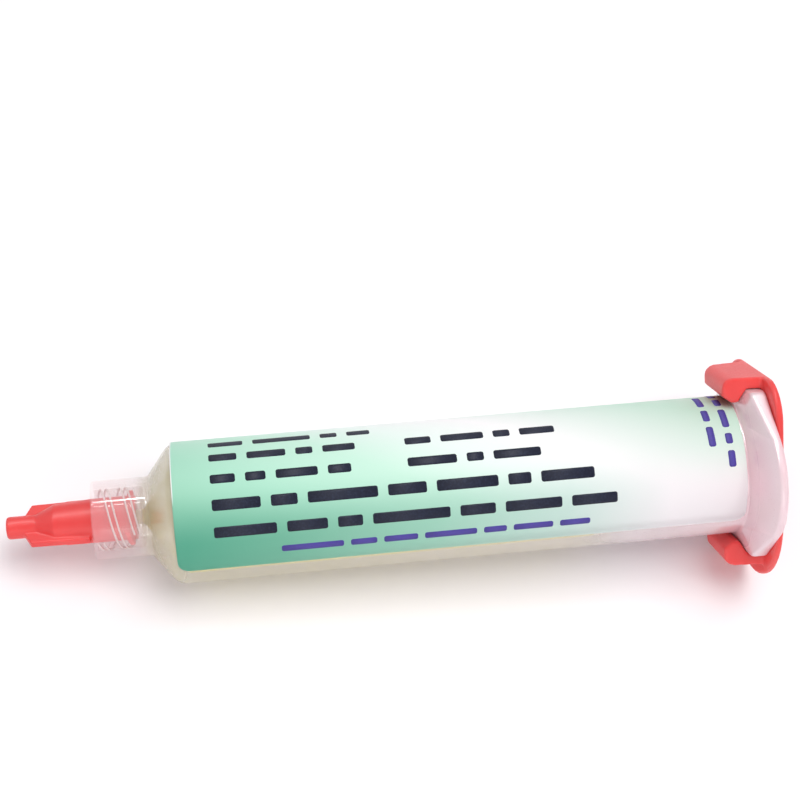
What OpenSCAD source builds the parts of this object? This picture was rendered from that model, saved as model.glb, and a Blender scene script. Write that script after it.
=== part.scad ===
// Flux syringe: a dispensing barrel of about 10 ml, full of gel flux and capped at both ends,
// with a label wrapped round it. It lies on its side as it comes to rest, on the rim of its
// end cap, one ear of its flange and the front edge of the barrel.
//
// Every piece is drawn upright: the barrel's axis is +Z, the rim of the luer collar is at
// z = 0, the flange's ears are on +Y and -Y and the end cap's hooks are on +X and -X.
// lie_down() then lays it along +X, with the end cap at the +X end and the surface at z = 0.

/* [Barrel] */
// Outside diameter of the barrel
barrel_d = 18.6; // [17.6:0.1:20]
// Wall thickness of the barrel
barrel_wall = 1.35; // [0.9:0.05:1.8]
// Length from the collar's rim to the back face of the flange
barrel_len = 88.6; // [84:0.1:110]
// Angle of the conical shoulder, measured from the axis
shoulder_angle = 53; // [46:1:62]
// Wall thickness of the shoulder
shoulder_wall = 1.9; // [1.5:0.1:2.4]
// Radius between the shoulder and the barrel
shoulder_fillet = 2.3; // [0.4:0.1:3]
// Width of the lead-in round the barrel's mouth
mouth_chamfer = 0.4; // [0.1:0.05:0.6]

/* [Luer tip] */
// Outside diameter of the locking collar
collar_d = 10.4; // [9.8:0.1:11.6]
// Length of the locking collar
collar_len = 7.3; // [6.8:0.1:8]
// Diameter at the bottom of the collar's inside thread
collar_bore_d = 8; // [7.9:0.05:8.3]
// Depth of the hollow inside the collar
collar_depth = 6.5; // [6.1:0.1:6.7]
// Diameter of the nozzle at its tip
nozzle_tip_d = 3.95; // [3.9:0.01:4.05]
// How far the nozzle reaches past the collar's rim
nozzle_reach = 2.2; // [1:0.1:3]
// Bore of the nozzle
nozzle_bore_d = 2; // [1.2:0.1:2.4]

/* [Flange] */
// Width of the flange from ear tip to ear tip
ear_span = 31.5; // [30:0.1:36]
// Radius of each ear's round end
ear_r = 8.25; // [7:0.05:9]
// Width of the flange across its narrow sides
flange_width = 22.7; // [21.6:0.1:24]
// Length of the straight edge on each narrow side
flange_flat = 11.8; // [10:0.1:13]
// Thickness of the flange at the ear tips
flange_rim_t = 1; // [0.8:0.05:1.4]
// Thickness of the flange where it meets the barrel
flange_root_t = 3.2; // [2.4:0.1:4]

/* [Filling] */
// Length of the filling along the barrel's wall
fill_len = 54.2; // [10:0.1:58]

/* [Piston] */
// Length of the piston along the barrel's wall
piston_len = 9.2; // [7:0.1:10]
// Width of each wiping land
land_w = 2; // [1:0.1:3]
// Depth of the waist between the two lands
waist_depth = 0.5; // [0.2:0.1:0.9]
// Length of the conical nose
nose_len = 4.5; // [3:0.1:4.8]
// Diameter of the hollow in the piston's back
piston_hollow_d = 12.8; // [10:0.1:13.2]
// Depth of the hollow in the piston's back
piston_hollow_depth = 6.6; // [4:0.1:8]

/* [End cap] */
// Width of the end cap's plate across its middle
plate_width = 21.6; // [20:0.1:24]
// How far the plate's round end, the thumb lip, stands out from the axis
plate_reach = 15.5; // [14.4:0.1:18]
// Radius of the plate's two corners at its straight edge
plate_corner_r = 5; // [2:0.1:6]
// Thickness of the plate at its rim
plate_t = 0.95; // [0.7:0.05:1.4]
// Diameter of the raised pad on the plate's back
pad_d = 18.4; // [17.4:0.1:20]
// Height of the raised pad
pad_t = 0.9; // [0.4:0.1:1.6]
// How far the plug reaches into the barrel
plug_len = 5.6; // [3:0.1:6.5]
// Wall thickness of the plug
plug_wall = 1.2; // [0.8:0.1:1.8]
// Distance over the outer faces of the two hooks
hook_span = 26; // [25:0.1:28]
// How far the hooks reach forward of the plate
hook_len = 5.2; // [4.4:0.1:7]
// Width of a hook at the plate
hook_root_w = 10; // [8.4:0.1:11]
// Width of a hook at its nose
hook_nose_w = 8.6; // [6:0.1:9]

/* [Tip cap] */
// Diameter of the tip cap's rod
rod_d = 2.95; // [2.4:0.05:3.4]
// How far the rod reaches past the collar's rim
rod_reach = 11.3; // [10:0.1:14]
// Diameter of the tip cap's body at the collar's rim
cap_body_d = 5.8; // [5.5:0.1:6.2]
// How far the tip cap's body reaches into the collar
cap_entry = 5.6; // [4.6:0.1:5.8]
// Thickness of each wing
wing_t = 1; // [0.7:0.05:1.5]
// Width over the two wings at the collar
wing_span = 6.8; // [6:0.1:9]
// Width over the two wings at their front ends
wing_front_span = 6.4; // [5.4:0.1:7.6]
// Length of the wings
wing_len = 7.6; // [6:0.1:9]
// Width over the two locking lugs
lug_span = 7.76; // [7.3:0.02:7.8]
// Angle that each lug covers
lug_arc = 40; // [30:1:60]

/* [Label] */
// Thickness of the label
label_t = 0.1; // [0.05:0.01:0.2]
// Angle that the label covers round the barrel
label_arc = 231; // [120:1:300]
// Bare strip between the label and the flange
label_gap = 0.25; // [0.1:0.05:6]
// Distance of the label's front edge behind the shoulder's sharp corner
label_lead = 0.25; // [0.1:0.05:6]

/* [Fits] */
// Radial clearance of the piston, the plug and the filling in the barrel
bore_clearance = 0.05; // [0.02:0.01:0.1]
// Clearance between the end cap and the flange that it hooks over
hook_clearance = 0.1; // [0.05:0.05:0.25]
// Clearance between the nozzle and the tip cap's socket
luer_clearance = 0.03; // [0.02:0.01:0.06]
// Clearance under the label
label_clearance = 0.02; // [0.01:0.01:0.05]

/* [Hidden] */

$fn = 96;
// Facets round a rounded disc inside a hull
hull_facets = 48;
// Overlap of pieces that are joined, and overshoot of cuts
joined = 0.3;
// Diameter gained per millimetre of a luer taper
luer_taper = 0.06;

// Barrel and shoulder
barrel_r = barrel_d / 2;
bore_r = barrel_r - barrel_wall;
collar_r = collar_d / 2;
collar_bore_r = collar_bore_d / 2;
nozzle_bore_r = nozzle_bore_d / 2;
shoulder_slope = tan(shoulder_angle);
shoulder_corner_z = collar_len + (barrel_r - collar_r) / shoulder_slope;
fillet_reach = shoulder_fillet * tan(shoulder_angle / 2);
shoulder_end_z = shoulder_corner_z + fillet_reach;
// Height at which the inner cone has a radius
function inner_cone_z(r) =
    collar_len + (r - collar_r + shoulder_wall / cos(shoulder_angle)) / shoulder_slope;
bore_start_z = inner_cone_z(bore_r);

// Flange
ear_off = ear_span / 2 - ear_r;
flange_corner_r = 1.5;
flange_edge_r = 0.35;
flange_front_z = barrel_len - flange_root_t;
flange_slope = (flange_root_t - flange_rim_t) / (ear_span / 2 - barrel_r);
flange_corner_x = flange_width / 2 - flange_corner_r;
flange_corner_y = flange_flat / 2;
// Thickness of the flange at its four corners
flange_side_t = flange_root_t
    - (norm([flange_width / 2, flange_corner_y]) - barrel_r) * flange_slope;
// Slope of the flange's front at the middle of its narrow sides
side_slope = (flange_root_t - flange_side_t) / (flange_width / 2 - barrel_r);

// Nozzle radius at a height
function nozzle_r(z) = (nozzle_tip_d + (z + nozzle_reach) * luer_taper) / 2;

// Piston
piston_r = bore_r - bore_clearance;
piston_front_z = bore_start_z + fill_len;
piston_back_z = piston_front_z + piston_len;
nose_tip_r = piston_r - nose_len * shoulder_slope;
piston_hollow_r = piston_hollow_d / 2;

// End cap
plate_front_z = barrel_len + hook_clearance / 2;
plate_back_z = plate_front_z + plate_t;
cap_back_z = plate_back_z + pad_t;
lobe_r = plate_width / 2;
lobe_off = plate_reach - lobe_r;
plug_front_z = barrel_len - plug_len;
plug_r = bore_r - bore_clearance;
recess_r = plug_r - plug_wall;
hook_in = flange_width / 2 + hook_clearance;
hook_out = hook_span / 2;
hook_nose_z = plate_front_z - hook_len;
hook_nose_r = 1.35;
// Distance from the axis to the inner edge of each lip, clear of the barrel and its label
lip_in = barrel_r + 0.35;

// Tip cap
rod_r = rod_d / 2;
rod_end_z = -rod_reach;
cap_body_r = cap_body_d / 2;
cap_neck_r = cap_body_r - 0.3;
cone_len = 2.4;
cone_back_z = -5.1;
lug_back_z = 5.1;
lug_len = 1.2;
wing_gap = 0.5;
// Length of the slant at the front end of each wing
wing_slant = 1;
// Turn of the wings and lugs, measured from the ear on -Y towards the hook on +X
wing_roll = 33;
socket_gap = 0.6;

// Label
label_r = barrel_r + label_clearance;
label_front_z = shoulder_corner_z + label_lead;
label_back_z = flange_front_z - label_gap;
// The label's lower edge, measured round from the ear on -Y towards the hook on +X
label_edge_angle = 36;

// How it lies: the ear on +Y and the thumb lip on +X touch the surface together
rest_roll = asin((lobe_r - ear_r) / norm([ear_off, lobe_off])) + atan2(lobe_off, ear_off);
rest_height = lobe_off * cos(rest_roll) + lobe_r;
rest_back_z = barrel_len - flange_rim_t / 2;
rest_tilt = atan((rest_height - barrel_r) / (rest_back_z - shoulder_end_z));
axis_z = barrel_r * cos(rest_tilt) - shoulder_end_z * sin(rest_tilt);
// The middle of the whole length is put at x = 0
front_x = rod_end_z * cos(rest_tilt) - rod_r * sin(rest_tilt);
back_x = cap_back_z * cos(rest_tilt) + pad_d / 2 * sin(rest_tilt);
axis_x = -(front_x + back_x) / 2;
// The middle of the whole width, between the thumb lip and a corner of the plate, is put at y = 0
ear_y = ear_off * cos(rest_roll) + ear_r;
front_y = -max(ear_y, lobe_off * sin(rest_roll) + lobe_r);
corner_y = (lobe_r - plate_corner_r) * cos(rest_roll) + plate_corner_r
    + (hook_out - plate_corner_r) * sin(rest_roll);
back_y = max(ear_y, corner_y);
axis_y = -(front_y + back_y) / 2;

// Points along an arc from angle a0 to angle a1
function arc(x, y, r, a0, a1, steps = 6) =
    [for (i = [0 : steps]) let (a = a0 + (a1 - a0) * i / steps) [x + r * cos(a), y + r * sin(a)]];

// Lays an upright piece on the surface
module lie_down() {
    translate([axis_x, axis_y, axis_z])
        rotate([0, -rest_tilt, 0])
            rotate([-rest_roll, 0, 0])
                rotate([0, 90, 0])
                    children();
}

// A disc of radius r with both edges rounded, from height z up to z + t
module rounded_disc(r, z, t, edge) {
    rotate_extrude($fn = hull_facets)
        polygon(concat(
            [[0, z]],
            arc(r - edge, z + edge, edge, -90, 0, 3),
            arc(r - edge, z + t - edge, edge, 0, 90, 3),
            [[0, z + t]]
        ));
}

// The finger flange: two ears, two narrow sides, and a front that slopes up to the barrel
module flange() {
    hull() {
        translate([0, 0, flange_front_z])
            cylinder(r = barrel_r, h = flange_root_t - flange_edge_r, $fn = hull_facets);
        for (side = [-1, 1]) {
            translate([0, side * ear_off, 0])
                rounded_disc(ear_r, barrel_len - flange_rim_t, flange_rim_t, flange_edge_r);
            for (end = [-1, 1])
                translate([end * flange_corner_x, side * flange_corner_y, 0])
                    rounded_disc(
                        flange_corner_r,
                        barrel_len - flange_side_t,
                        flange_side_t,
                        flange_edge_r
                    );
        }
    }
}

module collar_and_shoulder() {
    rim = 0.25;
    rotate_extrude()
        polygon(concat(
            [[0, 0], [collar_r - rim, 0], [collar_r, rim], [collar_r, collar_len]],
            arc(
                barrel_r - shoulder_fillet,
                shoulder_end_z,
                shoulder_fillet,
                shoulder_angle - 90,
                0
            ),
            [[barrel_r, barrel_len - flange_edge_r], [0, barrel_len - flange_edge_r]]
        ));
}

module barrel_bore() {
    rotate_extrude()
        polygon([
            [0, -nozzle_reach - joined],
            [nozzle_bore_r, -nozzle_reach - joined],
            [nozzle_bore_r, inner_cone_z(nozzle_bore_r)],
            [bore_r, bore_start_z],
            [bore_r, barrel_len - mouth_chamfer],
            [bore_r + mouth_chamfer + joined, barrel_len + joined],
            [0, barrel_len + joined]
        ]);
}

module collar_hollow() {
    translate([0, 0, -joined])
        cylinder(r = collar_bore_r, h = collar_depth + joined);
}

module nozzle() {
    translate([0, 0, -nozzle_reach])
        cylinder(
            r1 = nozzle_r(-nozzle_reach),
            r2 = nozzle_r(collar_depth + joined),
            h = nozzle_reach + collar_depth + joined
        );
}

module barrel() {
    color([0.93, 0.92, 0.86, 0.6])
        difference() {
            union() {
                difference() {
                    collar_and_shoulder();
                    collar_hollow();
                }
                nozzle();
                flange();
            }
            barrel_bore();
        }
}

module label() {
    color("lightgreen")
        rotate([0, 0, label_edge_angle - 90 - label_arc])
            rotate_extrude(angle = label_arc)
                translate([label_r, label_front_z])
                    square([label_t, label_back_z - label_front_z]);
}

// The filling, from the tip of the nozzle to the nose of the piston
module flux_gel() {
    gel_r = bore_r - bore_clearance;
    thread_r = nozzle_bore_r - bore_clearance;
    // The clearance, measured along the axis
    front = bore_clearance / sin(shoulder_angle);
    color("khaki")
        rotate_extrude()
            polygon([
                [0, -nozzle_reach],
                [thread_r, -nozzle_reach],
                [thread_r, inner_cone_z(thread_r) + front],
                [gel_r, inner_cone_z(gel_r) + front],
                [gel_r, piston_front_z - front],
                [nose_tip_r, piston_front_z - nose_len - front],
                [0, piston_front_z - nose_len - front]
            ]);
}

module piston() {
    waist_r = piston_r - waist_depth;
    color("white")
        difference() {
            rotate_extrude()
                polygon([
                    [0, piston_front_z - nose_len],
                    [nose_tip_r, piston_front_z - nose_len],
                    [piston_r, piston_front_z],
                    [piston_r, piston_front_z + land_w],
                    [waist_r, piston_front_z + land_w + waist_depth],
                    [waist_r, piston_back_z - land_w - waist_depth],
                    [piston_r, piston_back_z - land_w],
                    [piston_r, piston_back_z],
                    [0, piston_back_z]
                ]);
            translate([0, 0, piston_back_z - piston_hollow_depth])
                cylinder(r = piston_hollow_r, h = piston_hollow_depth + joined);
        }
}

// The end cap's plate: round at the thumb lip, straight where it is flush with the other hook
module cap_plate() {
    edge = plate_t * 0.45;
    hull() {
        translate([lobe_off, 0, 0])
            rounded_disc(lobe_r, plate_front_z, plate_t, edge);
        for (side = [-1, 1])
            translate([plate_corner_r - hook_out, side * (lobe_r - plate_corner_r), 0])
                rounded_disc(plate_corner_r, plate_front_z, plate_t, edge);
    }
}

// The raised pad on the back of the plate and the plug in front of it, around one recess
module pad_and_plug() {
    lead = 0.5;
    floor_t = plug_wall;
    difference() {
        rotate_extrude()
            polygon([
                [0, plug_front_z],
                [plug_r - lead, plug_front_z],
                [plug_r, plug_front_z + lead],
                [plug_r, plate_front_z + joined],
                [pad_d / 2, plate_front_z + joined],
                [pad_d / 2, cap_back_z - lead],
                [pad_d / 2 - lead, cap_back_z],
                [0, cap_back_z]
            ]);
        translate([0, 0, plug_front_z + floor_t])
            cylinder(r = recess_r, h = cap_back_z - plug_front_z);
    }
}

// One hook: an arm over the flange's narrow side, with a lip that grips the sloping front
module hook() {
    lip_ramp = 0.9;
    ramp_len = 1.2;
    // The lip's back face runs along the slope of the flange's narrow side, clear of it
    function lip_z(x) = flange_front_z + (x - barrel_r) * side_slope - hook_clearance;
    profile = concat(
        [[hook_in, plate_front_z + joined], [hook_in, lip_z(hook_in)], [lip_in, lip_z(lip_in)]],
        [[lip_in, hook_nose_z + ramp_len], [lip_in + lip_ramp, hook_nose_z]],
        arc(hook_out - hook_nose_r, hook_nose_z + hook_nose_r, hook_nose_r, -90, 0),
        [[hook_out, plate_front_z + joined]]
    );
    intersection() {
        rotate([90, 0, 0])
            linear_extrude(hook_root_w, center = true)
                polygon(profile);
        rotate([90, 0, 90])
            linear_extrude(hook_out)
                polygon([
                    [-hook_nose_w / 2, hook_nose_z],
                    [hook_nose_w / 2, hook_nose_z],
                    [hook_root_w / 2, plate_front_z + joined],
                    [-hook_root_w / 2, plate_front_z + joined]
                ]);
    }
}

module end_cap() {
    color([0.93, 0.3, 0.28]) {
        difference() {
            cap_plate();
            translate([0, 0, plate_front_z - joined])
                cylinder(r = recess_r, h = plate_t + 2 * joined);
        }
        pad_and_plug();
        for (turn = [0, 180])
            rotate([0, 0, turn])
                hook();
    }
}

// The tip cap's rod, its cone and the body that reaches into the collar
module cap_stem() {
    edge = 0.4;
    rotate_extrude()
        polygon(concat(
            [[0, rod_end_z]],
            arc(rod_r - edge, rod_end_z + edge, edge, -90, 0, 4),
            [
                [rod_r, cone_back_z - cone_len],
                [cap_neck_r, cone_back_z],
                [cap_body_r, 0],
                [cap_body_r, cap_entry],
                [0, cap_entry]
            ]
        ));
}

// The socket that fits the nozzle, a little deeper than the nozzle is long
module cap_socket() {
    floor_z = -nozzle_reach - socket_gap;
    translate([0, 0, floor_z])
        cylinder(
            r1 = nozzle_r(floor_z) + luer_clearance,
            r2 = nozzle_r(cap_entry + joined) + luer_clearance,
            h = cap_entry + joined - floor_z
        );
}

module cap_wings() {
    wing_back_z = -wing_gap;
    wing_front_z = wing_back_z - wing_len;
    rotate([0, 0, -90 + wing_roll])
        rotate([90, 0, 0])
            linear_extrude(wing_t, center = true)
                polygon([
                    [-rod_r, wing_front_z - wing_slant],
                    [rod_r, wing_front_z - wing_slant],
                    [wing_front_span / 2, wing_front_z],
                    [wing_span / 2, wing_back_z],
                    [-wing_span / 2, wing_back_z],
                    [-wing_front_span / 2, wing_front_z]
                ]);
}

module cap_lugs() {
    root_r = cap_body_r - joined;
    for (turn = [0, 180])
        rotate([0, 0, turn - 90 + wing_roll - lug_arc / 2])
            rotate_extrude(angle = lug_arc)
                translate([root_r, lug_back_z - lug_len])
                    square([lug_span / 2 - root_r, lug_len]);
}

module tip_cap() {
    color([0.93, 0.3, 0.28])
        difference() {
            union() {
                cap_stem();
                cap_wings();
                cap_lugs();
            }
            cap_socket();
        }
}

lie_down() barrel();
lie_down() label();
lie_down() flux_gel();
lie_down() piston();
lie_down() end_cap();
lie_down() tip_cap();
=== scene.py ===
"""Flux syringe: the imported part, dressed for its render.

Each piece is drawn upright in millimetres, with the barrel's axis on +Z, the rim of the luer
collar at z = 0, the flange's ears on +Y and -Y and the end cap's hooks on +X and -X. LAID then
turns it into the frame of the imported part, lying on its side, in metres.
"""

import logging
import math
from collections.abc import Callable, Iterable, Sequence
from dataclasses import dataclass
from enum import Enum
from functools import partial

import bpy
from bpy.types import Material, Node, NodeSocket, NodeTree, Object, World
from mathutils import Euler, Matrix, Vector


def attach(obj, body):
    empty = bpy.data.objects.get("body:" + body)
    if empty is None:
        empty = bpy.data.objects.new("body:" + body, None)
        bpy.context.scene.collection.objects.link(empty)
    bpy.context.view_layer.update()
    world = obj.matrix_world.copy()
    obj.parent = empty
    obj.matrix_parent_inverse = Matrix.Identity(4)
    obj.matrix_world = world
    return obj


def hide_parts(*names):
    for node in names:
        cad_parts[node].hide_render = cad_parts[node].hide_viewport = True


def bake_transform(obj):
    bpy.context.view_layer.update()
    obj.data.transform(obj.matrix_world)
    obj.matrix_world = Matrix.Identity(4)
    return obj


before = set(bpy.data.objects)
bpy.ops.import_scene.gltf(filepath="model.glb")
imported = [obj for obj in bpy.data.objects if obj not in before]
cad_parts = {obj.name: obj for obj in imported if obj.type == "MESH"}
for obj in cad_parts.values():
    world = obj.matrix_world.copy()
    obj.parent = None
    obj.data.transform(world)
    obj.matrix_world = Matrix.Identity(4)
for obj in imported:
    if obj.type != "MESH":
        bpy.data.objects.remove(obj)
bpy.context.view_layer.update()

log = logging.getLogger("flux_syringe")

Corner = tuple[Vector, float]
Pair = tuple[float, float]
Loop = list[Vector]
Faces = list[tuple[int, ...]]
Solid = tuple[Loop, Faces]
Places = list[Pair]
Links = dict[str | int, Node | NodeSocket]
AddNode = Callable[..., Node]

MM_PER_M = 1000.0
# Most values of a noise lie in the wide band, and half of them in the narrow one
WIDE_BAND = (0.3, 0.7)
NARROW_BAND = (0.35, 0.65)
# Segments of a rounded corner, and the most of a side that it takes, so that two never meet
CORNER_STEPS = 4
CORNER_SHARE = 0.47
# Passes of smoothing, which set how round the edges of a fused skin are
SMOOTHING_PASSES = 5
# The label's UV map has this many millimetres to one unit
UV_MM = 100
UV_NAME = "label_mm"


class Body(Enum):
    """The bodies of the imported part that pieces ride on."""

    SYRINGE = "syringe"
    FOLLOWER = "follower"
    REAR_CAP = "rear_cap"
    FRONT_CAP = "front_cap"


class Slot(Enum):
    """The record's material slots."""

    BARREL = "barrel"
    LABEL = "label"
    GEL = "gel"
    PISTON = "piston"
    CAP = "cap"


class Ink(Enum):
    """The label's two printing inks, as sRGB hex."""

    NAVY = "#141A30"
    VIOLET = "#4C3F9C"


@dataclass(frozen=True)
class Resting:
    """How the upright syringe lies: rolled round its axis, tilted, and moved, in mm and degrees."""

    roll: float = 48.818445
    tilt: float = 3.434287
    x: float = -39.760263
    y: float = -0.251331
    z: float = 8.592231

    def matrix(self) -> Matrix:
        """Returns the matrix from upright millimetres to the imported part's metres."""
        return (
            Matrix.Scale(1 / MM_PER_M, 4)
            @ Matrix.Translation((self.x, self.y, self.z))
            @ Matrix.Rotation(math.radians(-self.tilt), 4, "Y")
            @ Matrix.Rotation(math.radians(-self.roll), 4, "X")
            @ Matrix.Rotation(math.radians(90), 4, "Y")
        )


LAID = Resting().matrix()


def linear(hex_colour: str) -> tuple[float, float, float, float]:
    """Turns an sRGB hex value into a linear colour.

    Args:
        hex_colour: Six hex digits after a #.

    Returns:
        Red, green, blue and an alpha of 1, all linear.
    """
    parts = [int(hex_colour[i : i + 2], 16) / 255 for i in (1, 3, 5)]
    red, green, blue = (p / 12.92 if p <= 0.04045 else ((p + 0.055) / 1.055) ** 2.4 for p in parts)
    return red, green, blue, 1.0


def add_node(
    tree: NodeTree,
    kind: str,
    values: dict[str | int, object] | None = None,
    links: Links | None = None,
    **settings: object,
) -> Node:
    """Adds a node with its settings, socket values and links.

    Args:
        tree: The node tree that gets the node.
        kind: The node's type name.
        values: Constants for its input sockets.
        links: What feeds its input sockets: another node's first output, or any one socket.
        **settings: Properties of the node itself.

    Returns:
        The new node.
    """
    node = tree.nodes.new(kind)
    for name, value in settings.items():
        setattr(node, name, value)
    for socket, value in (values or {}).items():
        node.inputs[socket].default_value = value
    for socket, source in (links or {}).items():
        output = source.outputs[0] if isinstance(source, Node) else source
        tree.links.new(output, node.inputs[socket])
    return node


def empty_tree(owner: Material | World) -> AddNode:
    """Empties the node tree of a material or world, and returns add_node for that tree."""
    owner.use_nodes = True
    owner.node_tree.nodes.clear()
    return partial(add_node, owner.node_tree)


def fill_ramp(node: Node, stops: Sequence[tuple[float, str]]) -> None:
    """Sets the stops of a colour ramp.

    Args:
        node: The colour ramp.
        stops: Position and sRGB hex value of each stop, in order.
    """
    elements = node.color_ramp.elements
    while len(elements) < len(stops):
        elements.new(0.5)
    for element, (position, colour) in zip(elements, stops):
        element.position = position
        element.color = linear(colour)


def polar(r: float, angle: float, z: float = 0.0) -> Vector:
    """Returns the point at a radius, an angle in radians and a height."""
    return Vector((r * math.cos(angle), r * math.sin(angle), z))


def on_axis(z: float) -> Vector:
    """Returns the point of the axis at a height."""
    return Vector((0, 0, z))


def round_corners(corners: Sequence[Corner], closed: bool = False) -> Loop:
    """Rounds the corners of a line of points.

    Args:
        corners: Each corner's place and the radius of its rounding, 0 for a sharp corner.
        closed: Whether the last corner joins the first.

    Returns:
        The rounded line. Its number of points depends only on which radii are 0.
    """
    count = len(corners)
    line: Loop = []
    for index, (place, radius) in enumerate(corners):
        at_end = not closed and index in (0, count - 1)
        if radius == 0 or at_end:
            line.append(place.copy())
            continue
        back = corners[index - 1][0] - place
        ahead = corners[(index + 1) % count][0] - place
        turn = math.pi - back.angle(ahead)
        room = CORNER_SHARE * min(back.length, ahead.length)
        reach = min(radius * math.tan(turn / 2), room)
        start = place + back.normalized() * reach
        end = place + ahead.normalized() * reach
        for step in range(CORNER_STEPS + 1):
            t = step / CORNER_STEPS
            line.append(start * (1 - t) ** 2 + place * (2 * t * (1 - t)) + end * t**2)
    return line


def make_piece(name: str, solid: Solid, laid: bool = True) -> Object:
    """Makes a smooth-shaded mesh object.

    Args:
        name: The piece's name.
        solid: Its points and faces, upright and in millimetres.
        laid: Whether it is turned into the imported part's frame now.

    Returns:
        The object, linked to the scene.
    """
    mesh = bpy.data.meshes.new(name)
    mesh.from_pydata([tuple(point) for point in solid[0]], [], solid[1])
    if laid:
        mesh.transform(LAID)
    mesh.polygons.foreach_set("use_smooth", [True] * len(mesh.polygons))
    mesh.update()
    piece = bpy.data.objects.new(name, mesh)
    bpy.context.scene.collection.objects.link(piece)
    return piece


def weigh_normals(piece: Object) -> None:
    """Shades a piece's wide faces flat and its roundings soft."""
    modifier = piece.modifiers.new("wide_faces", "WEIGHTED_NORMAL")
    modifier.keep_sharp = True
    modifier.weight = 80


def join(solids: Iterable[Solid]) -> Solid:
    """Joins several solids into one list of points and one of faces."""
    points: Loop = []
    faces: Faces = []
    for more, sides in solids:
        faces += [tuple(i + len(points) for i in side) for side in sides]
        points += more
    return points, faces


def sweep(sections: Sequence[Loop]) -> Solid:
    """Lays out a closed solid through a row of sections with as many points each."""
    count = len(sections[0])
    last = count * (len(sections) - 1)
    faces: Faces = [tuple(range(count)), tuple(range(last + count - 1, last - 1, -1))]
    for first in range(0, last, count):
        for i in range(count):
            a, b = first + i, first + (i + 1) % count
            faces.append((b, a, a + count, b + count))
    return [point for section in sections for point in section], faces


def turned(section: Callable[[float], Loop], columns: int, closed: bool) -> Solid:
    """Lays out a solid from one section for each direction round the axis.

    Args:
        section: Gives the section's points for an angle in radians, always as many.
        columns: Number of directions.
        closed: Whether the section is a loop. If not, its first and last points are on the axis.

    Returns:
        The solid's points and faces.
    """
    lines = [section(math.tau * k / columns) for k in range(columns)]
    rows = len(lines[0])
    points = [point for line in lines for point in line]
    faces: Faces = []
    for k in range(columns):
        here, there = k * rows, (k + 1) % columns * rows
        for j in range(rows if closed else rows - 1):
            up = (j + 1) % rows
            faces.append((here + j, there + j, there + up, here + up))
    if closed:
        return points, faces
    # The end rows lie on the axis: each becomes its first point, and its quads become triangles
    ends = {i: i % rows for i in range(len(points)) if i % rows in (0, rows - 1)}
    merged = [tuple(dict.fromkeys(ends.get(i, i) for i in face)) for face in faces]
    used = sorted({i for face in merged for i in face})
    index = {old: new for new, old in enumerate(used)}
    return [points[i] for i in used], [tuple(index[i] for i in face) for face in merged]


def lathe(corners: Sequence[tuple[float, float, float]], columns: int = 128) -> Solid:
    """Lays out a round solid, whose section starts and ends on the axis.

    Args:
        corners: Radius, height and rounding of each of the section's corners, in mm.
        columns: Number of directions.

    Returns:
        The solid's points and faces.
    """
    flat = round_corners([(Vector((r, 0, z)), edge) for r, z, edge in corners])
    return turned(lambda angle: [polar(p.x, angle, p.z) for p in flat], columns, closed=False)


@dataclass(frozen=True)
class Disc:
    """One disc of a rounded outline: its centre, its radius and the thickness there, in mm."""

    x: float
    y: float
    r: float
    t: float = 0.0


def outline_point(discs: Sequence[Disc], angle: float) -> tuple[Vector, float]:
    """Finds where the tight outline round some discs faces a direction.

    Args:
        discs: The discs.
        angle: The outward direction, in radians.

    Returns:
        The point of the outline at z = 0, and the thickness of its disc.
    """
    out = polar(1, angle)
    disc = max(discs, key=lambda d: d.x * out.x + d.y * out.y + d.r)
    return Vector((disc.x, disc.y, 0)) + out * disc.r, disc.t


@dataclass(frozen=True)
class Finish:
    """A finish, which adds its nodes in shade and becomes a material in build."""

    name: str

    def shade(self, node: AddNode) -> Node:
        """Adds the finish's nodes.

        Args:
            node: Adds a node to the material.

        Returns:
            The shader that the surface takes.
        """
        raise NotImplementedError

    def build(self) -> Material:
        """Makes the material."""
        material = bpy.data.materials.new(self.name)
        node = empty_tree(material)
        node("ShaderNodeOutputMaterial", links={0: self.shade(node)})
        return material


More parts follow.
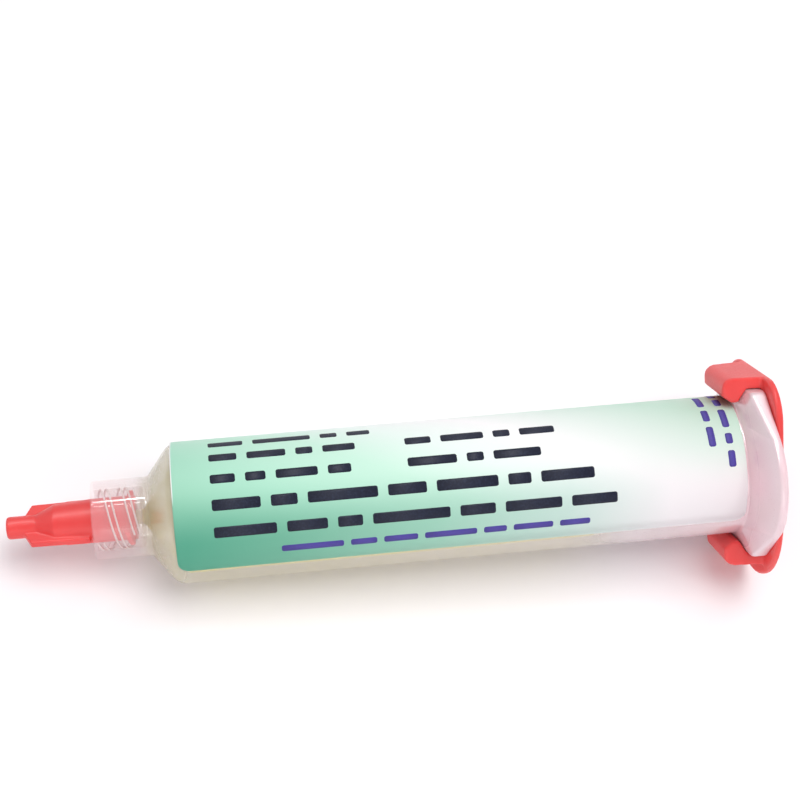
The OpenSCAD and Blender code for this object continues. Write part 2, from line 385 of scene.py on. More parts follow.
@dataclass(frozen=True)
class MouldedPlastic(Finish):
    """An injection-moulded plastic: a fine-grained, faintly rippled skin.

    The mould's own grain gives soft highlights, and the cooling gives broad ripples in them.
    """

    colour: str
    deep_colour: str
    roughness: float
    ior: float
    cover: float = 1.0
    glow: float = 0.0
    glow_reach: tuple[float, float, float] = (1.0, 1.0, 1.0)
    skin: float = 0.0
    skin_roughness: float = 0.1
    skin_ior: float = 1.5
    grain_mm: float = 0.35
    grain_depth: float = 0.02
    ripple_mm: float = 7.0
    ripple_depth: float = 0.12
    gloss_spread: Pair = (-0.04, 0.06)

    def body(self, node: AddNode, millimetres: Node, ripple: Node) -> Links:
        """Colours the plastic, a little deeper in the ripple's hollows.

        Args:
            node: Adds a node to the material.
            millimetres: The place on the piece, in mm.
            ripple: The broad ripple, from 0 to 1.

        Returns:
            What feeds the shader's sockets.
        """
        tint = node("ShaderNodeValToRGB", links={0: ripple})
        fill_ramp(tint, [(NARROW_BAND[0], self.deep_colour), (NARROW_BAND[1], self.colour)])
        return {"Base Color": tint}

    def shade(self, node: AddNode) -> Node:
        """Adds a shader whose colour, roughness and bump come from two noises."""
        place = node("ShaderNodeTexCoord")
        # Metres to millimetres, so that a noise of scale 1 / d has features of about d mm
        millimetres = node(
            "ShaderNodeVectorMath",
            {1: (MM_PER_M,) * 3},
            {0: place.outputs["Object"]},
            operation="MULTIPLY",
        )
        ripple, grain = (
            node(
                "ShaderNodeTexNoise",
                {"Scale": 1 / size, "Detail": detail, "Roughness": roughness},
                {"Vector": millimetres},
            )
            for size, detail, roughness in ((self.ripple_mm, 2.0, 0.5), (self.grain_mm, 3.0, 0.6))
        )
        low, high = (self.roughness + off for off in self.gloss_spread)
        gloss = node(
            "ShaderNodeMapRange", {1: WIDE_BAND[0], 2: WIDE_BAND[1], 3: low, 4: high}, {0: grain}
        )
        broad = node(
            "ShaderNodeBump", {"Distance": self.ripple_depth / MM_PER_M}, {"Height": ripple}
        )
        fine = node(
            "ShaderNodeBump",
            {"Distance": self.grain_depth / MM_PER_M},
            {"Height": grain, "Normal": broad},
        )
        return node(
            "ShaderNodeBsdfPrincipled",
            {
                "IOR": self.ior,
                "Alpha": self.cover,
                "Subsurface Weight": self.glow,
                "Subsurface Radius": self.glow_reach,
                "Subsurface Scale": 1 / MM_PER_M,
                "Coat Weight": self.skin,
                "Coat Roughness": self.skin_roughness,
                "Coat IOR": self.skin_ior,
            },
            {**self.body(node, millimetres, ripple), "Roughness": gloss, "Normal": fine},
        )


@dataclass(frozen=True)
class MilkyPlastic(MouldedPlastic):
    """The barrel's plastic, milky, with the colour of the light that comes through its wall painted
    into it.

    Each zone has a height along the barrel's axis in mm, the wall's colour there, and how much
    one surface of the wall hides, from 0 to 1.
    """

    zones: tuple[tuple[float, str, float], ...] = ()
    reach: float = 90.0
    cloud: float = 0.4
    dull_from: Pair = (84.5, 86.5)
    dull_roughness: float = 0.32

    def body(self, node: AddNode, millimetres: Node, ripple: Node) -> Links:
        """Colours and covers the plastic by its height along the barrel, with painted light from
        behind the wall.
        """
        axis = (LAID.to_3x3() @ on_axis(1)).normalized()
        rim = MM_PER_M * LAID.translation.dot(axis)
        height = node("ShaderNodeVectorMath", {1: axis}, {0: millimetres}, operation="DOT_PRODUCT")
        share = node(
            "ShaderNodeMapRange", {1: rim, 2: rim + self.reach}, {0: height.outputs["Value"]}
        )
        along = node("ShaderNodeValToRGB", links={0: share})
        fill_ramp(along, [(z / self.reach, colour) for z, colour, _ in self.zones])
        for element, (_, _, cover) in zip(along.color_ramp.elements, self.zones):
            element.alpha = cover
        cloud = node(
            "ShaderNodeMapRange", {1: NARROW_BAND[0], 2: NARROW_BAND[1], 4: self.cloud}, {0: ripple}
        )
        tint = node(
            "ShaderNodeMix", {7: linear(self.colour)}, {0: cloud, 6: along}, data_type="RGBA"
        )
        # The flange's skin is duller, as from a blasted part of the mould: it mirrors no print
        low, high = (z / self.reach for z in self.dull_from)
        dull = node(
            "ShaderNodeMapRange",
            {1: low, 2: high, 3: self.skin_roughness, 4: self.dull_roughness},
            {0: share},
        )
        return {"Base Color": tint.outputs[2], "Alpha": along.outputs[1], "Coat Roughness": dull}


# Natural polypropylene: its milky wall lets through what is behind it, and that light's colour is
# also painted into the wall by height.
# Each surface covers only in part, so the polished skin's own reflections are set stronger
BARREL_PLASTIC = MilkyPlastic(
    name="natural_polypropylene_moulded",
    colour="#FBF4F1",
    deep_colour="#F6EEEA",
    roughness=0.3,
    ior=1.49,
    skin=1.0,
    skin_roughness=0.08,
    skin_ior=2.6,
    grain_mm=0.3,
    grain_depth=0.003,
    ripple_mm=9.0,
    ripple_depth=0.04,
    # Painted light through the wall, set for the gel at rest: pink at the collar, the back and the
    # flange from the red caps behind; cream over the gel; at the shoulder the gel's yellow, darker
    # with painted shade
    zones=(
        (-1.0, "#FACAD0", 0.15),
        (5.5, "#FAE0E0", 0.18),
        (7.6, "#C6BD8C", 0.5),
        (10.0, "#CEC692", 0.6),
        (12.5, "#F0EACA", 0.28),
        (64.8, "#F7EFDF", 0.34),
        (70.0, "#FFF2F4", 0.48),
        (86.0, "#FFCEDA", 0.76),
        (87.4, "#FFE6EE", 0.82),
        (88.6, "#FFD6E0", 0.8),
    ),
)

# The collar's thread bends the light at its flanks, which show as bright lines in the wall: painted
# highlights, drawn as pale wedges inside the ridges
THREAD_FLANK_HIGHLIGHT = MouldedPlastic(
    name="thread_flank_painted_highlight",
    colour="#FFF4F2",
    deep_colour="#FDEEEC",
    roughness=0.35,
    ior=1.49,
    cover=0.6,
    grain_mm=0.4,
    grain_depth=0.003,
    ripple_mm=3.0,
    ripple_depth=0.02,
)

# Low-density polyethylene, red: waxy, so light that enters comes back a little way off
CAP_PLASTIC = MouldedPlastic(
    name="red_polyethylene_moulded",
    colour="#EC4A48",
    deep_colour="#E64140",
    roughness=0.42,
    ior=1.51,
    glow=0.3,
    glow_reach=(2.2, 0.5, 0.4),
    skin=0.08,
    skin_roughness=0.25,
    grain_mm=0.3,
    grain_depth=0.006,
    ripple_mm=6.0,
    ripple_depth=0.06,
)

# Polyethylene, white: the same waxy skin on the piston
PISTON_PLASTIC = MouldedPlastic(
    name="white_polyethylene_moulded",
    colour="#F8F8F5",
    deep_colour="#F3F3EF",
    roughness=0.4,
    ior=1.51,
    glow=0.4,
    glow_reach=(1.5, 1.4, 1.3),
)

# Gel flux: a soft, sticky paste with a wet skin where it lies against the wall
FLUX_PASTE = MouldedPlastic(
    name="gel_flux_paste",
    colour="#F0E67E",
    deep_colour="#EADF74",
    roughness=0.3,
    ior=1.45,
    glow=0.7,
    glow_reach=(3.0, 2.6, 1.6),
    grain_mm=0.8,
    grain_depth=0.01,
    ripple_mm=5.0,
    ripple_depth=0.1,
)


@dataclass(frozen=True)
class PrintedFilm(Finish):
    """Polypropylene label film, printed in mint that fades to white, under a satin varnish, with
    painted shade on its lower part.

    The varnish gives a soft sheen, and the adhesive under the film a slight orange peel. The UV
    map goes along the barrel from the label's front end, and round it from the label's lower edge.
    """

    name: str = "printed_label_film_varnished"
    roughness: float = 0.5
    ior: float = 1.49
    specular: float = 0.2
    peel_mm: float = 1.6
    peel_depth: float = 0.012
    sheen_spread: Pair = (-0.03, 0.05)
    lean: float = 1.92
    fade_mm: float = 110.0
    low_fade_mm: float = 75.0
    low_band: Pair = (4.0, 12.0)
    # A painted glint: white along the front edge, on the upper half only
    glint_edge: Pair = (0.1, 0.15)
    glint_from: Pair = (9.5, 11.5)
    glint_colour: str = "#FFFFFF"
    stops: tuple[tuple[float, str], ...] = (
        (0.16, "#93CEB3"),
        (0.3, "#ABDFC7"),
        (0.46, "#C8EEDB"),
        (0.58, "#EBF9F3"),
        (0.7, "#FDFDFD"),
        (0.93, "#D0F2E0"),
    )
    # The lower fade is print and painted shade, where the barrel turns down from the light; its
    # faint pink at the back end is painted pink light
    low_stops: tuple[tuple[float, str], ...] = (
        (0.02, "#56A489"),
        (0.18, "#6FB197"),
        (0.45, "#9BCCB7"),
        (0.68, "#C8E1D8"),
        (0.86, "#FBF8FA"),
    )

    def shade(self, node: AddNode) -> Node:
        """Adds a shader coloured by two fades: one on the lower part, print with painted shade, and
        one above it.
        """
        uv = node("ShaderNodeUVMap", uv_map=UV_NAME)
        parts = node("ShaderNodeSeparateXYZ", links={0: uv})
        along, round_it = parts.outputs[0], parts.outputs[1]
        # The main fade leans: it comes sooner the higher it is on the barrel
        leaned = node(
            "ShaderNodeMath", {1: self.lean}, {0: round_it, 2: along}, operation="MULTIPLY_ADD"
        )
        ramps = []
        for source, reach, stops in (
            (along, self.low_fade_mm, self.low_stops),
            (leaned, self.fade_mm, self.stops),
        ):
            share = node("ShaderNodeMath", {1: UV_MM / reach}, {0: source}, operation="MULTIPLY")
            ramps.append(node("ShaderNodeValToRGB", links={0: share}))
            fill_ramp(ramps[-1], stops)
        # On the upper half a thin white line along the front edge is a painted glint of light on
        # the film's edge
        height, past_glint, upper = (
            node(
                "ShaderNodeMapRange",
                {1: low / UV_MM, 2: high / UV_MM},
                {0: source},
                interpolation_type=kind,
            )
            for (low, high), source, kind in (
                (self.low_band, round_it, "SMOOTHSTEP"),
                (self.glint_edge, along, "LINEAR"),
                (self.glint_from, round_it, "LINEAR"),
            )
        )
        field = node("ShaderNodeMix", links={0: height, 6: ramps[0], 7: ramps[1]}, data_type="RGBA")
        lower = node("ShaderNodeMath", {0: 1.0}, {1: upper}, operation="SUBTRACT")
        cover = node("ShaderNodeMath", links={0: past_glint, 1: lower}, operation="MAXIMUM")
        printed = node(
            "ShaderNodeMix",
            {6: linear(self.glint_colour)},
            {0: cover, 7: field.outputs[2]},
            data_type="RGBA",
        )
        place = node("ShaderNodeTexCoord")
        peel = node(
            "ShaderNodeTexNoise",
            {"Scale": MM_PER_M / self.peel_mm},
            {"Vector": place.outputs["Object"]},
        )
        bump = node("ShaderNodeBump", {"Distance": self.peel_depth / MM_PER_M}, {"Height": peel})
        dull, matt = (self.roughness + off for off in self.sheen_spread)
        sheen = node(
            "ShaderNodeMapRange", {1: WIDE_BAND[0], 2: WIDE_BAND[1], 3: dull, 4: matt}, {0: peel}
        )
        return node(
            "ShaderNodeBsdfPrincipled",
            {"IOR": self.ior, "Specular IOR Level": self.specular},
            {"Base Color": printed.outputs[2], "Roughness": sheen, "Normal": bump},
        )


@dataclass(frozen=True)
class PrintingInk(Finish):
    """Screen ink on the label: a thin matt layer with slightly uneven cover."""

    colour: str
    roughness: float = 0.6
    thin_colour: str = "#3A4560"
    thin_share: float = 0.35
    thin_band: Pair = (0.45, 0.8)
    cover_mm: float = 0.25

    def shade(self, node: AddNode) -> Node:
        """Adds a shader that is a little lighter where the ink is thin."""
        place = node("ShaderNodeTexCoord")
        cover = node(
            "ShaderNodeTexNoise",
            {"Scale": MM_PER_M / self.cover_mm},
            {"Vector": place.outputs["Object"]},
        )
        low, high = self.thin_band
        thin = node("ShaderNodeMapRange", {1: low, 2: high, 4: self.thin_share}, {0: cover})
        tint = node(
            "ShaderNodeMix",
            {6: linear(self.colour), 7: linear(self.thin_colour)},
            {0: thin},
            data_type="RGBA",
        )
        return node(
            "ShaderNodeBsdfPrincipled", {"Roughness": self.roughness}, {0: tint.outputs[2]}
        )


@dataclass(frozen=True)
class MattPaper(Finish):
    """White paper, uncoated: it scatters all light and has next to no gloss."""

    name: str = "white_paper_matt"
    colour: str = "#FDFBFD"
    roughness: float = 0.9
    specular: float = 0.1

    def shade(self, node: AddNode) -> Node:
        """Adds the paper's one shader and returns it."""
        colour = linear(self.colour)
        values = {0: colour, "Roughness": self.roughness, "Specular IOR Level": self.specular}
        return node("ShaderNodeBsdfPrincipled", values)


def finish_piece(
    piece: Object, material: Material, body: Body, slot: Slot, stands_for: str = ""
) -> None:
    """Gives a piece its material and its body, and reports it.

    Args:
        piece: The object.
        material: Its material.
        body: The body it rides on.
        slot: The record's material slot; not used.
        stands_for: The CAD node that it replaces, if any.
    """
    piece.data.materials.clear()
    piece.data.materials.append(material)
    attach(piece, body.value)
    if stands_for:
        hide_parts(stands_for)
    log.info("%s: %d faces, on %s", piece.name, len(piece.data.polygons), body.value)


@dataclass
class Barrel:
    """The moulded barrel: luer nozzle, threaded collar, shoulder, wall and eared flange.

    run_in and run_out say where the thread starts and ends, and how long that takes it. A
    flank_wedge has a radius from the thread's root and a rise from the ridge for each corner.
    """

    radius: float = 9.3
    bore: float = 7.95
    length: float = 88.6
    collar_r: float = 5.2
    collar_len: float = 7.3
    hollow_r: float = 4.0
    hollow_depth: float = 6.5
    shoulder_z: float = 10.3896
    bore_start: float = 11.751
    nozzle_tip_r: float = 1.975
    nozzle_root_r: float = 2.236
    nozzle_reach: float = 2.2
    nozzle_bore: float = 1.0
    bore_cone_z: float = 6.514
    flange_z: float = 85.4
    ear_y: float = 7.5
    ear_r: float = 8.25
    ear_t: float = 1.0
    corner_x: float = 9.85
    corner_y: float = 5.9
    corner_r: float = 1.5
    corner_t: float = 2.013
    thread_depth: float = 0.32
    thread_lead: float = 5.0
    thread_starts: int = 2
    thread_start: float = -0.8
    thread_foot: float = 0.55
    thread_slope: float = 0.3
    run_in: Pair = (0.45, 0.5)
    run_out: Pair = (6.1, 0.6)
    thread_reach: Pair = (0.4, 6.15)
    thread_rows: int = 64
    flank_reach: Pair = (0.9, 5.7)
    flank_steps: int = 96
    flank_wedge: tuple[Pair, ...] = ((-0.3, 0.3), (0.05, 0.27), (0.05, 0.52))
    mouth_edge: float = 0.4
    columns: int = 288

    def rim_discs(self) -> list[Disc]:
        """Returns the six discs that the flange's outline goes round."""
        ears = [Disc(0, side * self.ear_y, self.ear_r, self.ear_t) for side in (-1, 1)]
        corners = [
            Disc(x * self.corner_x, y * self.corner_y, self.corner_r, self.corner_t)
            for x in (-1, 1)
            for y in (-1, 1)
        ]
        return ears + corners

    def thread_height(self, angle: float, z: float) -> float:
        """Gives the height of the collar's thread above its root.

        Args:
            angle: The direction round the axis, in radians.
            z: The height along the axis, in mm.

        Returns:
            The height, in mm, with sloping flanks and run-out at both ends.
        """
        pitch = self.thread_lead / self.thread_starts
        turn = (z - self.thread_start - self.thread_lead * angle / math.tau) / pitch
        off = abs(turn - round(turn)) * pitch
        ridge = min(1.0, max(0.0, (self.thread_foot - off) / self.thread_slope))
        into = max(0.0, (z - self.run_in[0]) / self.run_in[1])
        out_of = max(0.0, (self.run_out[0] - z) / self.run_out[1])
        return self.thread_depth * ridge * min(1.0, into, out_of)

    def section(self, angle: float) -> Loop:
        """Gives the barrel's section in one direction, nozzle, thread and flange included.

        Args:
            angle: The direction round the axis, in radians.

        Returns:
            The closed loop of its points.
        """
        out, up = polar(1, angle), on_axis(1)
        rim, rim_t = outline_point(self.rim_discs(), angle)

        def at(r: float, z: float, edge: float = 0.0) -> Corner:
            """Returns a corner at a radius and a height, and the radius of its rounding."""
            return out * r + up * z, edge

        low, high = self.thread_reach
        thread = []
        for row in range(self.thread_rows):
            z = high + (low - high) * row / (self.thread_rows - 1)
            thread.append(at(self.hollow_r - self.thread_height(angle, z), z))
        corners = [
            at(self.nozzle_bore, -self.nozzle_reach, 0.1),
            at(self.nozzle_tip_r, -self.nozzle_reach, 0.25),
            at(self.nozzle_root_r, self.hollow_depth, 0.3),
            at(self.hollow_r, self.hollow_depth, 0.25),
            *thread,
            at(self.hollow_r, 0, 0.2),
            at(self.collar_r, 0, 0.3),
            at(self.collar_r, self.collar_len, 0.6),
            at(self.radius, self.shoulder_z, 2.3),
            at(self.radius, self.flange_z, 0.45),
            (rim + up * (self.length - rim_t), 0.6),
            (rim + up * self.length, 0.4),
            at(self.bore + self.mouth_edge, self.length, 0.15),
            at(self.bore, self.length - self.mouth_edge, 0.15),
            at(self.bore, self.bore_start, 0.5),
            at(self.nozzle_bore, self.bore_cone_z, 0.3),
        ]
        return round_corners(corners, closed=True)

    def flank(self, start: int, side: int) -> Solid:
        """Lays out a painted highlight on one flank of the thread, a thin pale wedge that winds
        inside a ridge.

        Args:
            start: The number of the thread's start.
            side: 1 for the flank towards the barrel, -1 for the other.

        Returns:
            The flank's points and faces.
        """
        low, high = self.flank_reach
        wedge = self.flank_wedge[::side]
        sections = []
        for k in range(self.flank_steps + 1):
            z = low + (high - low) * k / self.flank_steps
            turn = start / self.thread_starts + (z - self.thread_start) / self.thread_lead
            out = polar(1, math.tau * turn)
            sections.append([out * (self.hollow_r + r) + on_axis(z + side * h) for r, h in wedge])
        return sweep(sections)

    def build(self, plastic: Material, flank_highlight: Material) -> None:
        """Builds and dresses the barrel and the painted highlights on the flanks of its thread."""
        piece = make_piece("barrel_moulding", turned(self.section, self.columns, closed=True))
        weigh_normals(piece)
        finish_piece(piece, plastic, Body.SYRINGE, Slot.BARREL, "barrel")
        flanks = join(
            self.flank(start, side) for start in range(self.thread_starts) for side in (-1, 1)
        )
        piece = make_piece("collar_thread_flank_highlights", flanks)
        finish_piece(piece, flank_highlight, Body.SYRINGE, Slot.BARREL)


@dataclass(frozen=True)
class PrintLine:
    """One line of plain bars on the label, along the barrel or round it, in mm and degrees."""

    angle: float
    start: float
    words: tuple[float, ...]
    height: float = 1.25
    gap: float = 1.3
    ink: Ink = Ink.NAVY
    goes_round: bool = False


@dataclass(frozen=True)
class Patch:
    """A rounded rectangle on the wall, in mm and degrees.

    It has that many columns of points between its corners, and a row at each given distance
    behind its front end.
    """

    front: float
    back: float
    start: float
    end: float
    corner: float
    columns: int
    rows: tuple[float, ...] = ()


@dataclass
class Label:
    """The wrap-round label: a thin film with rounded corners and generic print."""

    inner_r: float = 9.32
    thickness: float = 0.1
    front: float = 10.64
    back: float = 85.15
    edge_angle: float = -36.0
    arc: float = 231.0
    corner: float = 1.6
    film_rows: tuple[float, ...] = (0.12, 0.25, 0.4, 0.6, 1.0)
    film_columns: int = 96
    corner_steps: int = 6
    corner_share: float = 0.49
    ink_lift: float = 0.008
    ink_corner: float = 0.3
    ink_columns: int = 14
    bend_z: float = 11.16
    bend_r: float = 2.3

    def spot(self, r: float, angle: float, z: float) -> Vector:
        """Gives a point on the barrel's wall, whose front end bends over the shoulder.

        Args:
            r: Its radius, in mm.
            angle: Its angle from the ear on -Y towards -X, in degrees.
            z: Its height, in mm.

        Returns:
            The point.
        """
        ahead = max(0.0, self.bend_z - z)
        r -= self.bend_r - math.sqrt(self.bend_r**2 - ahead**2)
        return polar(r, math.radians(-90 - angle), z)

    def face(self, patch: Patch, r: float) -> tuple[Solid, Places]:
        """Lays out one face of a patch.

        Args:
            patch: The patch.
            r: Radius that the face lies at.

        Returns:
            Its points and faces, and the place of each point on the flat label, in mm.
        """
        mm_per_degree = math.pi * r / 180
        width = (patch.end - patch.start) * mm_per_degree
        corner = min(patch.corner, self.corner_share * width)
        inner = width - 2 * corner
        turns = [math.radians(90 * k / self.corner_steps) for k in range(self.corner_steps + 1)]
        edge = [(corner * (1 - math.cos(t)), corner * (1 - math.sin(t))) for t in turns]
        middle = [(corner + inner * k / patch.columns, 0.0) for k in range(1, patch.columns)]
        columns = edge + middle + [(width - d, inset) for d, inset in reversed(edge)]
        points: Loop = []
        flat: Places = []
        for along, inset in columns:
            angle = patch.start + along / mm_per_degree
            front = patch.front + inset
            for z in (front, *(front + row for row in patch.rows), patch.back - inset):
                points.append(self.spot(r, angle, z))
                flat.append((z - self.front, (angle - self.edge_angle) * mm_per_degree))
        high = len(patch.rows) + 2
        faces = [
            (k * high + j, k * high + j + 1, (k + 1) * high + j + 1, (k + 1) * high + j)
            for k in range(len(columns) - 1)
            for j in range(high - 1)
        ]
        return (points, faces), flat

    def slab(self, patch: Patch, radii: Pair) -> tuple[Solid, Places]:
        """Lays out a closed curved slab: an outer face, an inner face and the rim between them.

        Args:
            patch: Where it lies.
            radii: Radius of the outer face and of the inner one.

        Returns:
            Its points and faces, and the place of each point on the flat label, in mm.
        """
        (outside, faces), flat = self.face(patch, radii[0])
        (inside, _), _ = self.face(patch, radii[1])
        count, high = len(outside), len(patch.rows) + 2
        rim = [
            *range(0, count, high),
            *range(count - high + 1, count - 1),
            *range(count - 1, 0, -high),
            *range(high - 2, 0, -1),
        ]
        sides = [(a, b, b + count, a + count) for a, b in zip(rim, rim[1:] + rim[:1])]
        under = [tuple(i + count for i in reversed(face)) for face in faces]
        return (outside + inside, faces + under + sides), flat + flat

    def film(self) -> Object:
        """Builds the film as a closed solid, with its UV map."""
        ends = (self.front, self.back)
        edges = (self.edge_angle, self.edge_angle + self.arc)
        patch = Patch(*ends, *edges, self.corner, self.film_columns, self.film_rows)
        solid, places = self.slab(patch, (self.inner_r + self.thickness, self.inner_r))
        piece = make_piece("label_film", solid)
        layer = piece.data.uv_layers.new(name=UV_NAME)
        for loop in piece.data.loops:
            x, y = places[loop.vertex_index]
            layer.data[loop.index].uv = (x / UV_MM, y / UV_MM)
        return piece

    def lines(self) -> list[PrintLine]:
        """Returns the lines of bars that stand where a real label has its print."""
        violet = {"height": 0.95, "gap": 0.9, "ink": Ink.VIOLET}
        return [
            PrintLine(80.0, 15.6, (4.5, 7.5, 2.2, 3.0)),
            PrintLine(62.0, 15.6, (3.6, 5.0, 2.2, 4.2)),
            PrintLine(62.0, 41.0, (3.4, 5.6, 2.2, 4.6)),
            PrintLine(41.5, 15.6, (3.2, 2.6, 5.4, 3.0)),
            PrintLine(41.5, 41.0, (6.4, 2.2, 6.2)),
            PrintLine(20.5, 15.6, (6.2, 3.4, 9.0, 5.0, 8.0, 3.0, 7.0), height=1.45),
            PrintLine(-1.0, 15.6, (8.0, 5.2, 3.2, 10.0, 4.6, 7.4, 6.0), height=1.45),
            PrintLine(-20.0, 24.0, (8.0, 3.4, 4.4, 6.8, 3.0, 5.2, 4.0), **violet),
            PrintLine(32.0, 81.0, (2.9, 2.1, 3.4), goes_round=True, **violet),
            PrintLine(14.5, 83.3, (2.2, 1.5, 3.2, 1.9, 2.4), goes_round=True, **violet),
        ]

    def bars(self, line: PrintLine) -> list[Solid]:
        """Lays out the bars of one line, as thin slabs sunk a little into the film.

        Args:
            line: The line.

        Returns:
            Its bars.
        """
        film_r = self.inner_r + self.thickness
        radii = (film_r + self.ink_lift, film_r - self.ink_lift)
        degrees = 180 / (math.pi * film_r)
        half = line.height / 2
        done = 0.0
        slabs = []
        for word in line.words:
            if line.goes_round:
                ends = (line.start - half, line.start + half)
                arc = (done, done + word)
            else:
                ends = (line.start + done, line.start + done + word)
                arc = (-half, half)
            edges = (line.angle + a * degrees for a in arc)
            patch = Patch(*ends, *edges, self.ink_corner, self.ink_columns)
            slabs.append(self.slab(patch, radii)[0])
            done += word + line.gap
        return slabs

    def build(self, film: Material) -> None:
        """Builds and dresses the label's film, and the bars of each ink as one piece."""
        finish_piece(self.film(), film, Body.SYRINGE, Slot.LABEL, "label")
        for ink in Ink:
            colour = ink.name.lower()
            lines = [line for line in self.lines() if line.ink is ink]
            bars = join(bar for line in lines for bar in self.bars(line))
            piece = make_piece(f"label_print_{colour}", bars)
            layer = PrintingInk(f"label_ink_{colour}", ink.value).build()
            finish_piece(piece, layer, Body.SYRINGE, Slot.LABEL)


@dataclass
class Filling:
    """The gel flux: it fills the nozzle, the shoulder and the bore up to the piston's nose.
    """

    gel_r: float = 7.94
    thread_r: float = 0.96
    tip_z: float = -2.2
    cone_z: float = 6.55
    front_z: float = 11.8
    back_z: float = 65.88
    nose_r: float = 1.93
    nose_z: float = 61.39
    still: float = 0.8
    carried: float = 0.2

    def build(self, paste: Material) -> None:
        """Builds and dresses the gel, then takes it off its body and bakes its place into the mesh.
        """
        corners = [
            (0, self.tip_z, 0),
            (self.thread_r, self.tip_z, 0.2),
            (self.thread_r, self.cone_z, 0.3),
            (self.gel_r, self.front_z, 0.5),
            (self.gel_r, self.back_z, 0.1),
            (self.nose_r, self.nose_z, 0.1),
            (0, self.nose_z, 0),
        ]
        piece = make_piece("flux_gel_filling", lathe(corners))
        finish_piece(piece, paste, Body.SYRINGE, Slot.GEL, "flux_gel")
        piece.parent = None
        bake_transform(piece)


@dataclass
class Piston:
    """The follower piston: two wiping lands, a conical nose and a hollow back."""

    radius: float = 7.9
    waist_r: float = 7.4
    front_z: float = 65.951
    length: float = 9.2
    land: float = 2.0
    nose_r: float = 1.928
    nose_len: float = 4.5
    hollow_r: float = 6.4
    hollow_depth: float = 6.6

    def build(self, plastic: Material) -> None:
        """Builds and dresses the piston."""
        back = self.front_z + self.length
        slope = self.radius - self.waist_r
        nose_z = self.front_z - self.nose_len
        corners = [
            (0, nose_z, 0),
            (self.nose_r, nose_z, 0.4),
            (self.radius, self.front_z, 0.3),
            (self.radius, self.front_z + self.land, 0.25),
            (self.waist_r, self.front_z + self.land + slope, 0.4),
            (self.waist_r, back - self.land - slope, 0.4),
            (self.radius, back - self.land, 0.25),
            (self.radius, back, 0.25),
            (self.hollow_r, back, 0.25),
            (self.hollow_r, back - self.hollow_depth, 0.6),
            (0, back - self.hollow_depth, 0),
        ]
        piece = make_piece("follower_piston", lathe(corners))
        weigh_normals(piece)
        finish_piece(piece, plastic, Body.FOLLOWER, Slot.PISTON, "piston")


def fuse(name: str, solids: Iterable[Solid], grid_mm: float) -> Object:
    """Joins overlapping solids into one skin with soft edges and corners, as a mould gives.

    Args:
        name: The new piece's name.
        solids: Closed solids, upright and in millimetres.
        grid_mm: The grid of the new skin.

    Returns:
        The piece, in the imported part's frame.
    """
    rough = make_piece(f"{name}_rough", join(solids), laid=False)
    remesh = rough.modifiers.new("one_skin", "REMESH")
    remesh.mode = "VOXEL"
    remesh.voxel_size = grid_mm
    remesh.use_smooth_shade = True
    smooth = rough.modifiers.new("soft_edges", "SMOOTH")
    smooth.factor = 0.5
    smooth.iterations = SMOOTHING_PASSES
    bpy.context.view_layer.update()
    skin = bpy.data.meshes.new_from_object(
        rough.evaluated_get(bpy.context.evaluated_depsgraph_get())
    )
    bpy.data.objects.remove(rough)
    skin.name = name
    skin.transform(LAID)
    skin.polygons.foreach_set("use_smooth", [True] * len(skin.polygons))
    piece = bpy.data.objects.new(name, skin)
    bpy.context.scene.collection.objects.link(piece)
    return piece


